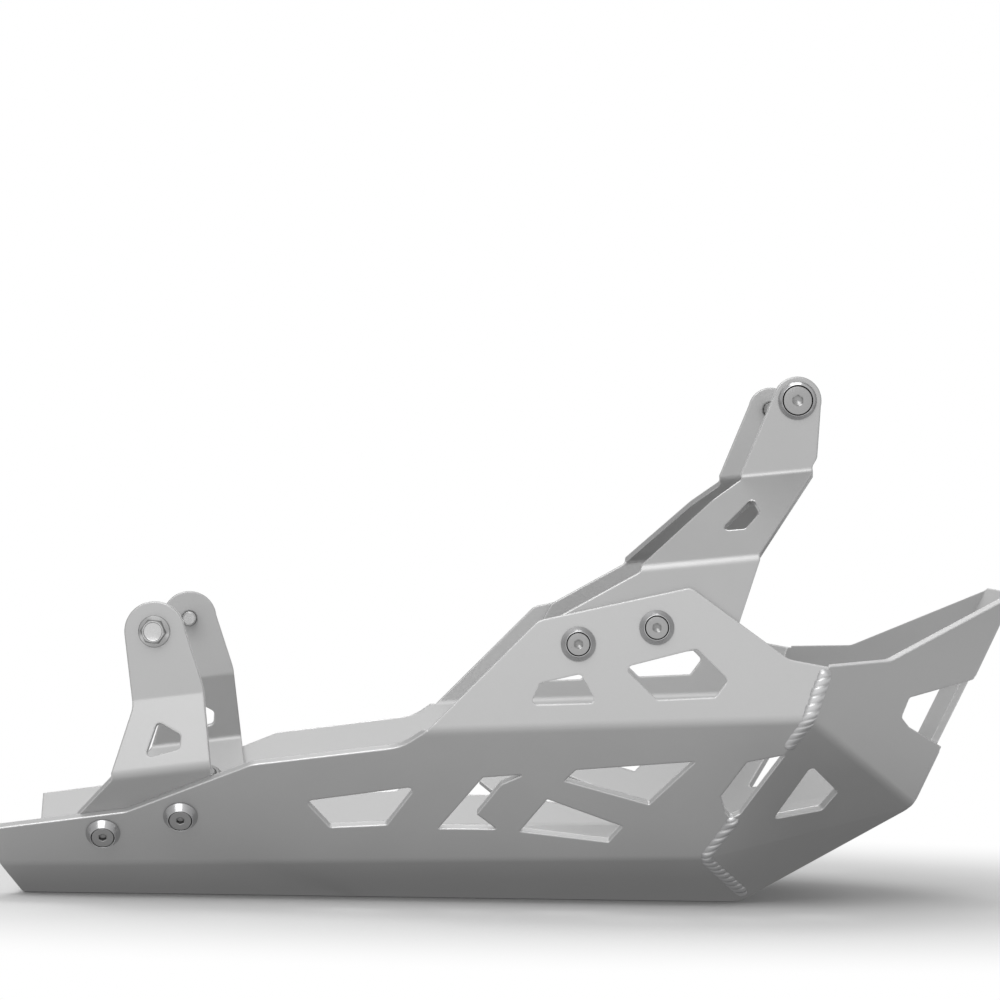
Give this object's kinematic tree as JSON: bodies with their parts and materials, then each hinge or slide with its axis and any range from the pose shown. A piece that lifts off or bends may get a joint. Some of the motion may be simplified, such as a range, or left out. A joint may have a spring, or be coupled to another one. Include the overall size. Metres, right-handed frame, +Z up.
{
  "type": "motorcycle skid plate",
  "caption": "Vented skid plate folded and welded from aluminium sheet: a flat-bottomed pan with a ramped nose that guards a motorcycle engine, on folded side brackets with frame bolts.",
  "frame": {"origin": "under the middle of the length, on the centre plane, at the underside of the flat floor", "axes": "+X to the front of the motorcycle, +Y to its left, +Z up"},
  "size_m": [0.55, 0.3556, 0.2867],
  "materials": {
    "pan_sheet": "bead blasted",
    "weld_metal": "bright weld",
    "bracket_sheet": "bead blasted",
    "turned_washer": "turned",
    "fastener_steel": "zinc plated"
  },
  "bodies": {
    "root": {"skid_pan": "pan_sheet", "weld_bead_right": "weld_metal", "weld_bead_left": "weld_metal", "rear_bracket_right": "bracket_sheet", "rear_bracket_left": "bracket_sheet", "front_bracket_right": "bracket_sheet", "front_bracket_left": "bracket_sheet", "rear_cone_washers_right": "turned_washer", "rear_cone_washers_left": "turned_washer", "front_cone_washers_right": "turned_washer", "front_cone_washers_left": "turned_washer", "front_cup_washer_right": "turned_washer", "front_cup_washer_left": "turned_washer", "rear_pan_screws_right": "fastener_steel", "rear_pan_screws_left": "fastener_steel", "front_pan_screws_right": "fastener_steel", "front_pan_screws_left": "fastener_steel", "rear_flange_nuts_right": "fastener_steel", "rear_flange_nuts_left": "fastener_steel", "front_flange_nuts_right": "fastener_steel", "front_flange_nuts_left": "fastener_steel", "rear_frame_bolt_right": "fastener_steel", "rear_frame_bolt_left": "fastener_steel", "front_frame_screw_right": "fastener_steel", "front_frame_screw_left": "fastener_steel"}
  },
  "joints": []
}
